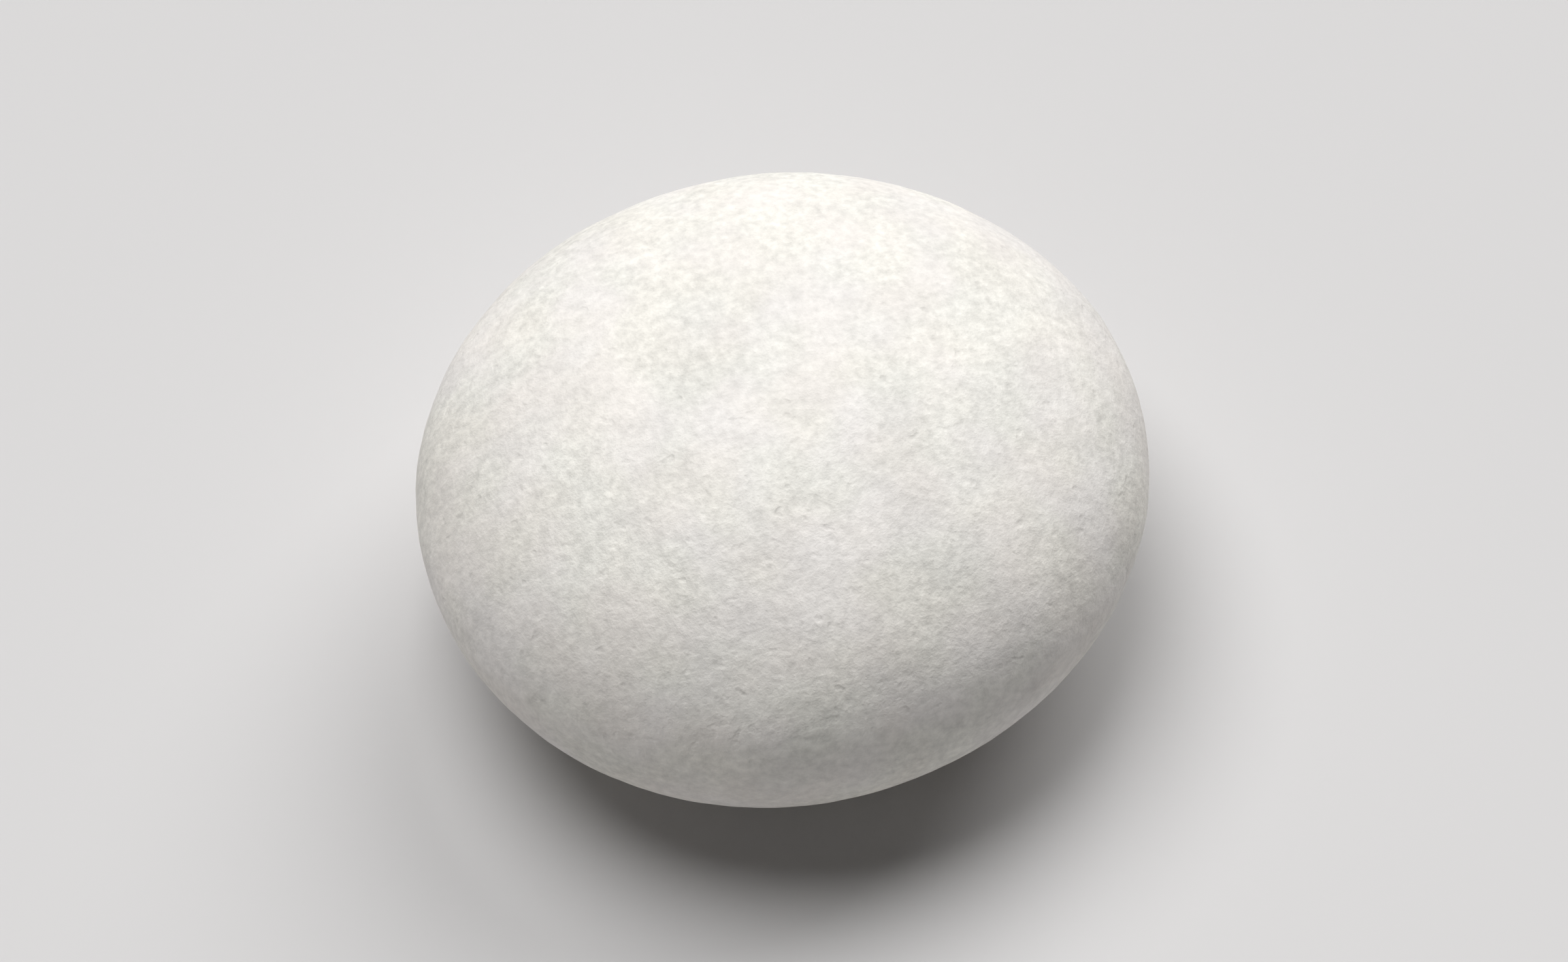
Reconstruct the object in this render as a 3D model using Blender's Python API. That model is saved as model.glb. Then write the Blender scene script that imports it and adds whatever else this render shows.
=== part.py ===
"""A sugared almond: a whole almond under a thick white sugar shell, lying on its broad side.

Units are metres, +Z is up, and +X runs along the almond to its slimmer end. The origin is on the
surface that the almond rests on, under the middle of its outline.
"""

import math

import bmesh
import bpy
from mathutils import Vector, noise

MM = 0.001

# Driving dimensions of the sweet, measured over its sugar shell
LENGTH = 25.0 * MM
WIDTH = 23.2 * MM
THICKNESS = 13.0 * MM
REST_SPOT = 5.0 * MM  # diameter of the flat spot that it rests on

# Form of the shell
RIM_FULLNESS = 2.1  # power of its section: 2 is an ellipse, and more is fuller between face and rim
TAPER = 0.017  # share of the girth that moves from the slimmer end to the blunt one

# Unevenness that tumbling leaves in the coat: wavelength, and height from hollow to crest
BROAD_SWELL = (13.0 * MM, 0.24 * MM)
SHORT_SWELL = (6.0 * MM, 0.09 * MM)
LUMPS = (2.9 * MM, 0.035 * MM)
COAT_DRAW = Vector((7.9, 1.8, 0.4))  # picks one coat out of all that the noise could give

FACET_ROUNDS = 5  # of the ball of triangles that the shell starts from: 5120 of them

# Sugar shell, as linear colour
SUGAR_WHITE = (0.80, 0.785, 0.745)
SUGAR_ROUGHNESS = 0.62


def clear_scene():
    """Removes whatever the scene holds."""
    for obj in list(bpy.data.objects):
        bpy.data.objects.remove(obj)


def smooth_shell_point(direction):
    """The point of the shell without its unevenness, in the direction of a unit vector."""
    across = math.hypot(direction.x, direction.y)
    reach = (across**RIM_FULLNESS + abs(direction.z) ** RIM_FULLNESS) ** (1 / RIM_FULLNESS)
    along = direction.x / reach
    girth = 1 - TAPER * along
    return Vector(
        (
            LENGTH / 2 * along,
            WIDTH / 2 * direction.y / reach * girth,
            THICKNESS / 2 * direction.z / reach * girth,
        )
    )


def unevenness(point):
    """How far the coat stands proud of the smooth shell at a point of it."""
    height = 0.0
    for wavelength, swell in (BROAD_SWELL, SHORT_SWELL, LUMPS):
        height += swell / 2 * noise.noise(point / wavelength + COAT_DRAW)
    return height


def bring_to_size(mesh, size):
    """Centres the points on the origin and scales them to a size."""
    lows = Vector(min(v.co[axis] for v in mesh.verts) for axis in range(3))
    highs = Vector(max(v.co[axis] for v in mesh.verts) for axis in range(3))
    middle = (lows + highs) / 2
    for vert in mesh.verts:
        for axis in range(3):
            share = (vert.co[axis] - middle[axis]) / (highs[axis] - lows[axis])
            vert.co[axis] = share * size[axis]


def press_rest_spot(mesh):
    """Presses the lowest part of the shell flat, and sets it on the surface at height 0."""
    depth = THICKNESS / 2 * (1 - math.sqrt(1 - (REST_SPOT / WIDTH) ** 2))
    lowest = min(vert.co.z for vert in mesh.verts)
    for vert in mesh.verts:
        vert.co.z = max(0.0, vert.co.z - lowest - depth)


def stretch_to_thickness(mesh):
    """Makes up for the pressed spot, so that the height is the thickness again."""
    height = max(vert.co.z for vert in mesh.verts)
    for vert in mesh.verts:
        vert.co.z *= THICKNESS / height


def sugar_shell_mesh():
    """The almond's mesh: a ball of triangles drawn out to the shell's form."""
    mesh = bmesh.new()
    bmesh.ops.create_icosphere(mesh, subdivisions=FACET_ROUNDS, radius=1.0)
    for vert in mesh.verts:
        vert.co = smooth_shell_point(vert.co.normalized())
    mesh.normal_update()
    shifts = [vert.normal * unevenness(vert.co) for vert in mesh.verts]
    for vert, shift in zip(mesh.verts, shifts):
        vert.co += shift
    bring_to_size(mesh, (LENGTH, WIDTH, THICKNESS))
    press_rest_spot(mesh)
    stretch_to_thickness(mesh)
    data = bpy.data.meshes.new("sugared_almond")
    mesh.to_mesh(data)
    mesh.free()
    data.shade_smooth()
    return data


def sugar_material():
    """Matte white sugar."""
    material = bpy.data.materials.new("white_sugar_shell")
    material.use_nodes = True
    shader = material.node_tree.nodes["Principled BSDF"]
    shader.inputs["Base Color"].default_value = (*SUGAR_WHITE, 1.0)
    shader.inputs["Roughness"].default_value = SUGAR_ROUGHNESS
    shader.inputs["Metallic"].default_value = 0.0
    return material


def main():
    clear_scene()
    collection = bpy.data.collections.new("sugared_almond")
    bpy.context.scene.collection.children.link(collection)
    almond = bpy.data.objects.new("sugared_almond", sugar_shell_mesh())
    almond.data.materials.append(sugar_material())
    collection.objects.link(almond)


main()
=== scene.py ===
"""A sugared almond: its matte white sugar shell, and the plain stage that it lies on.

The file is laid out as an add-on. Run as a script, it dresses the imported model: one operator models
the sugar shell over the model's solid, and another lays the floor and sets the light and the camera.
Units are metres, in the model's own frame.
"""

import math

import bpy
from bpy.props import FloatProperty, FloatVectorProperty, PointerProperty
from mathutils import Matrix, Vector


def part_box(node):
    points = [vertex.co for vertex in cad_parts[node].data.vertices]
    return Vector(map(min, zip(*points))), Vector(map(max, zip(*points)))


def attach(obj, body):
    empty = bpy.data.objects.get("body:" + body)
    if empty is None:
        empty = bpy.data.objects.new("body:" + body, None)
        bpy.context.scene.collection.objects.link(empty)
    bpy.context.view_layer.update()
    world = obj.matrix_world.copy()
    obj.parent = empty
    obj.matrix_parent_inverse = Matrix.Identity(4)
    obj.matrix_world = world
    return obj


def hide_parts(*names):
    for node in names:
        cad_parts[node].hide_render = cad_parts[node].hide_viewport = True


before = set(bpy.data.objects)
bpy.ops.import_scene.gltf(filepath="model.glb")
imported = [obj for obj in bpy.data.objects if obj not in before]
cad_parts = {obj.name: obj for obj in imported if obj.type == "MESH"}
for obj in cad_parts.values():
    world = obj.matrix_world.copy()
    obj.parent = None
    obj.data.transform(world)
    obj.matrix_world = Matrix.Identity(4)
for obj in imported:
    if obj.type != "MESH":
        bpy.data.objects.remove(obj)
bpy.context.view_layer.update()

bl_info = {
    "name": "Sugared Almond",
    "version": (1, 0, 0),
    "blender": (4, 5, 0),
    "location": "3D View > Sidebar > Sweets",
    "description": "Makes a sugared almond's shell and the stage that it lies on",
    "category": "Add Mesh",
}

MM = 0.001
ALMOND_LOW, ALMOND_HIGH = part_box("sugared_almond")
ALMOND_SIZE = ALMOND_HIGH - ALMOND_LOW
ALMOND_MIDDLE = (ALMOND_LOW + ALMOND_HIGH) / 2

# The cage that the shell grows from: a cube's faces cut into squares and blown up to a ball
CAGE_CUTS = 31
CAGE_SMOOTHING = 3  # rounds that take the solid's facets out of the cage
SHELL_SUBDIVISIONS = 2

# Rounds of finer noise in the shell's relief, on top of the first
LUMP_DETAIL = 1
PEEL_DETAIL = 2

# Shifts that keep the finish's patterns apart, so that they don't fall on each other
CLOUD_PLACE = (3.1, 1.7, 0.4)
PIT_PLACE = (1.9, 0.3, 2.2)
CREAM_PLACE = (2.5, 1.1, 3.4)
WARM_PLACE = (0.2, 3.7, 1.6)

# The patterns themselves: noise from 0 to 1, of which patches and pits take a stretch
MIDDLE = 0.5  # of what a pattern gives
CLOUDS_TO_BLOTCHES = 2.4  # the clouds' size over the blotches'
PATCH_DETAIL = 1.0  # rounds of finer noise in the patches and the pits
PATCH_START = 0.34  # noise at which a patch begins
PATCH_FULL = 0.66  # noise at which a patch is at its strongest
PIT_START = 0.65
PIT_FULL = 0.8
GRAIN_DETAIL = 3.0  # rounds of finer noise in the grain
GRAIN_HARSHNESS = 0.68  # strength of each of those rounds, over the round before it

# How strongly the patterns show
MEAN_SHADE = 1.01  # of the sugar, over the colour of its tint
CLOUD_SHADE = 0.05  # from the palest to the greyest of the clouds
BLOTCH_SHADE = 0.045
IVORY_SHARE = 0.3  # how far the warmest patches go over to ivory
CHALK_TOOTH = 0.85  # strength of the grain's speckle, partly painted shade in its hollows, on the cool patches
CREAM_TOOTH = 1.27  # strength of the grain's speckle, partly painted shade in its hollows, on the creamy patches
PAINTED_PIT_SHADE = 0.09  # how much darker a pit is painted, as painted shade in its hollow, on the scale of the grain's speckle
PIT_DEPTH = 0.4  # over the grain's height
BLOTCH_ROUGHNESS = 0.08  # how much rougher the greyest blotches are than the palest
TOOTH_ROUGHNESS = 0.1
SUGAR_SHINE = 0.35  # a common smooth material has 0.5, and dry sugar has less

# Places of the Mix node's colour sockets
MIX_FACTOR = 0
MIX_FIRST_COLOUR = 6
MIX_SECOND_COLOUR = 7
MIX_COLOUR_OUT = 2

# Ways from the almond to the soft lights: round from the camera's side, and up from the floor
OVERHEAD_WAY = (math.radians(-140), math.radians(68))
FAR_WAY = (math.radians(150), math.radians(42))
NEAR_WAY = (math.radians(-30), math.radians(42))
LIGHT_WIDTH = math.radians(41)  # of each soft light, as the almond sees it
LIGHT_DISTANCE = 1.0  # a sun lamp lights alike from anywhere, and this only places its icon

BOARD_ROUGHNESS = 0.9  # of the floor
CLIP_SHARE = 0.05  # share of the camera's distance that is too near for it to show


class ShellSettings(bpy.types.PropertyGroup):
    """Relief and colours of the sugar shell"""

    lump_size: FloatProperty(
        name="Lump Size",
        description="Distance between the soft lumps that panning leaves in the sugar",
        default=2.6 * MM,
        min=0.5 * MM,
        subtype="DISTANCE",
        unit="LENGTH",
    )
    lump_height: FloatProperty(
        name="Lump Height",
        description="Height of the soft lumps from hollow to crest",
        default=0.08 * MM,
        min=0.0,
        subtype="DISTANCE",
        unit="LENGTH",
    )
    peel_size: FloatProperty(
        name="Peel Size",
        description="Distance between the fine dimples of the sugar's skin",
        default=0.85 * MM,
        min=0.2 * MM,
        subtype="DISTANCE",
        unit="LENGTH",
    )
    peel_height: FloatProperty(
        name="Peel Height",
        description="Depth of the fine dimples of the sugar's skin",
        default=0.04 * MM,
        min=0.0,
        subtype="DISTANCE",
        unit="LENGTH",
    )
    blotch_size: FloatProperty(
        name="Blotch Size",
        description="Distance between the pale and the greyer blotches",
        default=1.7 * MM,
        min=0.2 * MM,
        subtype="DISTANCE",
        unit="LENGTH",
    )
    grain_size: FloatProperty(
        name="Grain Size",
        description="Distance between the grains that show as a fine tooth on the surface",
        default=0.33 * MM,
        min=0.02 * MM,
        subtype="DISTANCE",
        unit="LENGTH",
    )
    grain_height: FloatProperty(
        name="Grain Height",
        description="Height of the fine tooth",
        default=0.04 * MM,
        min=0.0,
        subtype="DISTANCE",
        unit="LENGTH",
    )
    pit_size: FloatProperty(
        name="Pit Size",
        description="Spacing of the small hollows, of which only the deepest show",
        default=0.5 * MM,
        min=0.1 * MM,
        subtype="DISTANCE",
        unit="LENGTH",
    )
    # Paler grains and darker hollows: partly random speckle, partly painted shade in the grain's hollows
    speckle_and_hollow_shade: FloatProperty(
        name="Speckle",
        description="How much paler the grains are than the hollows between them",
        default=0.55,
        min=0.0,
    )
    tint_size: FloatProperty(
        name="Tint Size",
        description="Distance between the faint patches of one tint",
        default=2.8 * MM,
        min=0.2 * MM,
        subtype="DISTANCE",
        unit="LENGTH",
    )
    chalk: FloatVectorProperty(
        name="Chalk",
        description="Colour of the cool patches, white with a breath of lilac",
        default=(0.817, 0.7885, 0.758),
        size=3,
        min=0.0,
        max=1.0,
        subtype="COLOR",
    )
    cream: FloatVectorProperty(
        name="Cream",
        description="Colour of the creamy patches",
        default=(0.802, 0.7885, 0.737),
        size=3,
        min=0.0,
        max=1.0,
        subtype="COLOR",
    )
    ivory: FloatVectorProperty(
        name="Ivory",
        description="Colour that the warmest patches lean to",
        default=(0.841, 0.7885, 0.714),
        size=3,
        min=0.0,
        max=1.0,
        subtype="COLOR",
    )
    roughness: FloatProperty(
        name="Roughness",
        description="Middle roughness of the dry sugar",
        default=0.6,
        min=0.0,
        max=1.0,
        subtype="FACTOR",
    )


class StageSettings(bpy.types.PropertyGroup):
    """Floor, light and camera"""

    floor_span: FloatProperty(
        name="Floor Span",
        description="Width of the square floor",
        default=12.0,
        min=0.1,
        subtype="DISTANCE",
        unit="LENGTH",
    )
    floor_colour: FloatVectorProperty(
        name="Floor Colour",
        description="Colour of the floor",
        default=(0.66, 0.65, 0.648),
        size=3,
        min=0.0,
        max=1.0,
        subtype="COLOR",
    )
    overhead_strength: FloatProperty(
        name="Overhead Strength",
        description="Strength of the soft light high up behind on the left, in watts per square metre",
        default=2.3,
        min=0.0,
    )
    far_strength: FloatProperty(
        name="Far Strength",
        description="Strength of the lower soft light behind on the right, in watts per square metre",
        default=1.67,
        min=0.0,
    )
    near_strength: FloatProperty(
        name="Near Strength",
        description="Strength of the weak soft light on the camera's side, in watts per square metre",
        default=0.14,
        min=0.0,
    )
    camera_azimuth: FloatProperty(
        name="Camera Azimuth",
        description="Way round the almond to the camera, from the front towards its right",
        default=math.radians(-21),
        subtype="ANGLE",
        unit="ROTATION",
    )
    camera_elevation: FloatProperty(
        name="Camera Elevation",
        description="Height of the camera above the horizon",
        default=math.radians(60),
        subtype="ANGLE",
        unit="ROTATION",
    )
    camera_distance: FloatProperty(
        name="Camera Distance",
        description="Distance from the camera to the middle of the almond",
        default=180 * MM,
        min=0.05,
        subtype="DISTANCE",
        unit="LENGTH",
    )
    almond_share: FloatProperty(
        name="Share of the Picture",
        description="Share of the picture's width that the almond's length fills",
        default=0.47,
        min=0.05,
        max=1.0,
        subtype="FACTOR",
    )


class Number:
    """A number that varies over a surface. Arithmetic on it adds Math nodes."""

    def __init__(self, work, socket):
        self.work = work
        self.socket = socket

    def worked_out(self, operation, first, second):
        node = self.work.add("ShaderNodeMath", {"operation": operation}, {0: first, 1: second})
        return Number(self.work, node.outputs[0])

    def __add__(self, other):
        return self.worked_out("ADD", self, other)

    def __radd__(self, other):
        return self.worked_out("ADD", other, self)

    def __sub__(self, other):
        return self.worked_out("SUBTRACT", self, other)

    def __rsub__(self, other):
        return self.worked_out("SUBTRACT", other, self)

    def __mul__(self, other):
        return self.worked_out("MULTIPLY", self, other)

    def __rmul__(self, other):
        return self.worked_out("MULTIPLY", other, self)


class NodeWork:
    """The nodes of a material or a world, while they are being put together."""

    def __init__(self, owner):
        owner.use_nodes = True
        self.tree = owner.node_tree

    def set(self, node, sockets):
        """Gives a node's sockets their values or links."""
        for name, value in sockets.items():
            source = value.socket if isinstance(value, Number) else value
            if isinstance(source, bpy.types.NodeSocket):
                self.tree.links.new(source, node.inputs[name])
            else:
                node.inputs[name].default_value = source

    def add(self, kind, settings, sockets):
        """Adds a node, with its settings first and then its sockets."""
        node = self.tree.nodes.new(kind)
        for name, value in settings.items():
            setattr(node, name, value)
        self.set(node, sockets)
        return node

    def place(self, shift=(0.0, 0.0, 0.0)):
        """The point of the surface, in the object's own coordinates."""
        coordinates = self.add("ShaderNodeTexCoord", {}, {})
        mapping = self.add(
            "ShaderNodeMapping", {}, {"Vector": coordinates.outputs["Object"], "Location": shift}
        )
        return mapping.outputs["Vector"]

    def noise(self, place, size, detail, harshness=0.5):
        """Noise from 0 to 1 with its crests about `size` apart, and finer rounds laid over it."""
        node = self.add(
            "ShaderNodeTexNoise",
            {},
            {"Vector": place, "Scale": 1 / size, "Detail": detail, "Roughness": harshness},
        )
        return Number(self, node.outputs["Fac"])

    def spread(self, number, low, high):
        """The number's stretch from low to high, eased in and out from 0 to 1."""
        node = self.add(
            "ShaderNodeMapRange",
            {"interpolation_type": "SMOOTHSTEP"},
            {"Value": number, "From Min": low, "From Max": high},
        )
        return Number(self, node.outputs["Result"])

    def patches(self, place, size):
        """Soft-edged patches about `size` apart, that go from 0 to 1."""
        return self.spread(self.noise(place, size, PATCH_DETAIL), PATCH_START, PATCH_FULL)

    def pits(self, place, size):
        """Small spots with soft edges, 1 in their middles and 0 between them."""
        return self.spread(self.noise(place, size, PATCH_DETAIL), PIT_START, PIT_FULL)

    def blend(self, factor, first, second):
        """A colour between two, by a factor."""
        node = self.add(
            "ShaderNodeMix",
            {"data_type": "RGBA"},
            {MIX_FACTOR: factor, MIX_FIRST_COLOUR: first, MIX_SECOND_COLOUR: second},
        )
        return node.outputs[MIX_COLOUR_OUT]

    def scaled(self, colour, factor):
        """A colour times a number."""
        node = self.add("ShaderNodeVectorMath", {"operation": "SCALE"}, {"Vector": colour, "Scale": factor})
        return node.outputs["Vector"]


def opaque(colour):
    """A colour property as a socket takes it."""
    return (*colour, 1.0)


def deselect_all():
    """Leaves nothing selected, so that the next tool works on its own piece alone."""
    bpy.ops.object.select_all(action="DESELECT")


def apply_modifier(piece, name, kind, settings):
    """Adds a modifier with its settings, and applies it."""
    modifier = piece.modifiers.new(name, kind)
    for key, value in settings.items():
        setattr(modifier, key, value)
    bpy.context.view_layer.objects.active = piece
    bpy.ops.object.modifier_apply(modifier=modifier.name)


def relief_texture(name, size, detail):
    """A soft noise for a Displace modifier, with its crests about `size` apart."""
    texture = bpy.data.textures.new(name, "CLOUDS")
    texture.noise_basis = "IMPROVED_PERLIN"
    texture.noise_scale = size
    texture.noise_depth = detail
    return texture


def add_relief(piece, name, size, height, detail):
    """Raises and sinks a piece's surface by soft noise, `height` from hollow to crest."""
    apply_modifier(
        piece,
        name,
        "DISPLACE",
        {
            "texture": relief_texture(name, size, detail),
            "texture_coords": "LOCAL",
            "direction": "NORMAL",
            "strength": height,
        },
    )


def fit_to_box(piece):
    """Stretches and moves a piece's mesh to fill the almond's box."""
    lows = Vector(min(v.co[axis] for v in piece.data.vertices) for axis in range(3))
    highs = Vector(max(v.co[axis] for v in piece.data.vertices) for axis in range(3))
    middle = (lows + highs) / 2
    stretch = [ALMOND_SIZE[axis] / (highs[axis] - lows[axis]) for axis in range(3)]
    bpy.ops.object.mode_set(mode="EDIT")
    bpy.ops.mesh.select_all(action="SELECT")
    bpy.ops.transform.resize(value=stretch, center_override=middle)
    bpy.ops.transform.translate(value=ALMOND_MIDDLE - middle)
    bpy.ops.object.mode_set(mode="OBJECT")


def ball_cage():
    """A ball of squares as long, as wide and as thick as the almond, in the almond's place."""
    deselect_all()
    bpy.ops.mesh.primitive_cube_add(size=ALMOND_SIZE.x)
    cage = bpy.context.object
    cage.name = cage.data.name = "sugar_shell"
    bpy.ops.object.mode_set(mode="EDIT")
    bpy.ops.mesh.select_all(action="SELECT")
    bpy.ops.mesh.subdivide(number_cuts=CAGE_CUTS)
    bpy.ops.transform.tosphere(value=1.0)
    bpy.ops.object.mode_set(mode="OBJECT")
    fit_to_box(cage)
    return cage


def sugar_shell(settings):
    """The shell: a ball of squares drawn onto the almond's solid, then given the sugar's relief."""
    shell = ball_cage()
    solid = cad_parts["sugared_almond"]
    apply_modifier(
        shell, "drawn on", "SHRINKWRAP", {"target": solid, "wrap_method": "NEAREST_SURFACEPOINT"}
    )
    apply_modifier(shell, "facets out", "SMOOTH", {"iterations": CAGE_SMOOTHING})
    apply_modifier(
        shell,
        "finer",
        "SUBSURF",
        {"levels": SHELL_SUBDIVISIONS, "render_levels": SHELL_SUBDIVISIONS},
    )
    add_relief(shell, "lumps", settings.lump_size, settings.lump_height, LUMP_DETAIL)
    add_relief(shell, "peel", settings.peel_size, settings.peel_height, PEEL_DETAIL)
    fit_to_box(shell)
    deselect_all()
    shell.select_set(True)
    bpy.ops.object.shade_smooth()
    return shell


def sugar_finish(settings):
    """Dry white sugar: faint tints, pale and greyer blotches, a fine tooth and a few small pits, with
    painted shade in the tooth's hollows and in the pits.
    """
    material = bpy.data.materials.new("dry_white_sugar")
    work = NodeWork(material)
    blotches = work.patches(work.place(), settings.blotch_size)
    clouds = work.patches(work.place(CLOUD_PLACE), CLOUDS_TO_BLOTCHES * settings.blotch_size)
    creamy = work.patches(work.place(CREAM_PLACE), settings.tint_size)
    warm = work.patches(work.place(WARM_PLACE), settings.tint_size)
    pits = work.pits(work.place(PIT_PLACE), settings.pit_size)
    grain = work.noise(work.place(), settings.grain_size, GRAIN_DETAIL, GRAIN_HARSHNESS)
    # The grain's colour is paler on its crests and darker in its hollows and in the pits, from the same
    # noise that the bump raises and sinks: partly random speckle, partly painted shade in the hollows
    grain_and_hollow_shade_strength = CHALK_TOOTH + (CREAM_TOOTH - CHALK_TOOTH) * creamy
    grain_and_hollow_shade = (grain - MIDDLE) * grain_and_hollow_shade_strength - PAINTED_PIT_SHADE * pits
    tint = work.blend(creamy, opaque(settings.chalk), opaque(settings.cream))
    tint = work.blend(IVORY_SHARE * warm, tint, opaque(settings.ivory))
    patch_shade = CLOUD_SHADE * (clouds - MIDDLE) + BLOTCH_SHADE * (blotches - MIDDLE)
    shade = MEAN_SHADE + patch_shade + settings.speckle_and_hollow_shade * grain_and_hollow_shade
    roughness = settings.roughness + BLOTCH_ROUGHNESS * (MIDDLE - blotches) + TOOTH_ROUGHNESS * grain_and_hollow_shade
    bump = work.add(
        "ShaderNodeBump",
        {},
        {"Height": grain - PIT_DEPTH * pits, "Distance": settings.grain_height},
    )
    work.set(
        work.tree.nodes["Principled BSDF"],
        {
            "Base Color": work.scaled(tint, shade),
            "Roughness": roughness,
            "Normal": bump.outputs["Normal"],
            "Specular IOR Level": SUGAR_SHINE,
        },
    )
    return material


def floor_finish(settings):
    """Plain matte board."""
    material = bpy.data.materials.new("pale_board")
    work = NodeWork(material)
    work.set(
        work.tree.nodes["Principled BSDF"],
        {
            "Base Color": opaque(settings.floor_colour),
            "Roughness": BOARD_ROUGHNESS,
            "Specular IOR Level": 0.0,
        },
    )
    return material


def add_floor(settings):
    """The floor that the almond lies on, which isn't part of it."""
    deselect_all()
    bpy.ops.mesh.primitive_plane_add(size=settings.floor_span)
    floor = bpy.context.object
    floor.name = floor.data.name = "floor"
    floor.data.materials.append(floor_finish(settings))


def aim(thing, spot):
    """Turns a light or a camera to face a spot."""
    thing.rotation_euler = (spot - thing.location).to_track_quat("-Z", "Y").to_euler()


def direction(azimuth, elevation):
    """The way from the almond to something seen at an azimuth and an elevation."""
    return Vector(
        (
            math.sin(azimuth) * math.cos(elevation),
            -math.cos(azimuth) * math.cos(elevation),
            math.sin(elevation),
        )
    )


def add_soft_light(name, azimuth, elevation, strength):
    """A wide disc of even light that faces the almond."""
    deselect_all()
    spot = ALMOND_MIDDLE + LIGHT_DISTANCE * direction(azimuth, elevation)
    bpy.ops.object.light_add(type="SUN", location=spot)
    lamp = bpy.context.object
    lamp.name = lamp.data.name = name
    lamp.data.angle = LIGHT_WIDTH
    lamp.data.energy = strength
    aim(lamp, ALMOND_MIDDLE)


def set_backdrop(settings, floor_light):
    """A backdrop as bright as the lit floor, which the camera sees beyond it and which lights nothing."""
    world = bpy.data.worlds.new("pale_backdrop")
    work = NodeWork(world)
    work.set(
        work.tree.nodes["Background"],
        {"Color": opaque(settings.floor_colour), "Strength": floor_light / math.pi},
    )
    world.cycles_visibility.diffuse = False
    world.cycles_visibility.glossy = False
    bpy.context.scene.world = world


def add_camera(settings):
    """A camera at the photograph's viewing angle, with a lens that lets the almond fill its share."""
    back = direction(settings.camera_azimuth, settings.camera_elevation)
    bpy.ops.object.camera_add(location=ALMOND_MIDDLE + settings.camera_distance * back)
    camera = bpy.context.object
    aim(camera, ALMOND_MIDDLE)
    camera.data.sensor_fit = "HORIZONTAL"
    span = ALMOND_SIZE.x / settings.almond_share
    camera.data.lens = camera.data.sensor_width * settings.camera_distance / span
    camera.data.clip_start = CLIP_SHARE * settings.camera_distance
    bpy.context.scene.camera = camera


class SWEETS_OT_sugar_shell(bpy.types.Operator):
    """Model the sugar shell over the almond's solid, and give it its finish"""

    bl_idname = "sweets.sugar_shell"
    bl_label = "Sugar Shell"

    def execute(self, context):
        settings = context.scene.sugar_shell
        shell = sugar_shell(settings)
        shell.data.materials.append(sugar_finish(settings))
        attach(shell, "root")
        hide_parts("sugared_almond")
        return {"FINISHED"}


class SWEETS_OT_stage(bpy.types.Operator):
    """Lay the floor, and set the light and the camera"""

    bl_idname = "sweets.stage"
    bl_label = "Stage"

    def execute(self, context):
        settings = context.scene.sweets_stage
        add_floor(settings)
        lights = (
            ("overhead", OVERHEAD_WAY, settings.overhead_strength),
            ("far", FAR_WAY, settings.far_strength),
            ("near", NEAR_WAY, settings.near_strength),
        )
        floor_light = 0.0
        for name, (way_round, elevation), strength in lights:
            add_soft_light(name, settings.camera_azimuth + way_round, elevation, strength)
            floor_light += strength * math.sin(elevation)
        set_backdrop(settings, floor_light)
        add_camera(settings)
        context.scene.view_settings.view_transform = "Standard"
        return {"FINISHED"}


class SWEETS_PT_sugared_almond(bpy.types.Panel):
    """Steps and settings of the sugared almond"""

    bl_idname = "SWEETS_PT_sugared_almond"
    bl_label = "Sugared Almond"
    bl_space_type = "VIEW_3D"
    bl_region_type = "UI"
    bl_category = "Sweets"

    def draw(self, context):
        steps = (
            (SWEETS_OT_sugar_shell, context.scene.sugar_shell),
            (SWEETS_OT_stage, context.scene.sweets_stage),
        )
        for operator, settings in steps:
            box = self.layout.box()
            box.operator(operator.bl_idname)
            for name in type(settings).__annotations__:
                box.prop(settings, name)


CLASSES = (
    ShellSettings,
    StageSettings,
    SWEETS_OT_sugar_shell,
    SWEETS_OT_stage,
    SWEETS_PT_sugared_almond,
)


def register():
    for cls in CLASSES:
        bpy.utils.register_class(cls)
    bpy.types.Scene.sugar_shell = PointerProperty(type=ShellSettings)
    bpy.types.Scene.sweets_stage = PointerProperty(type=StageSettings)


def unregister():
    del bpy.types.Scene.sweets_stage
    del bpy.types.Scene.sugar_shell
    for cls in reversed(CLASSES):
        bpy.utils.unregister_class(cls)


def main():
    register()
    bpy.ops.sweets.sugar_shell()
    bpy.ops.sweets.stage()


if __name__ == "__main__":
    main()
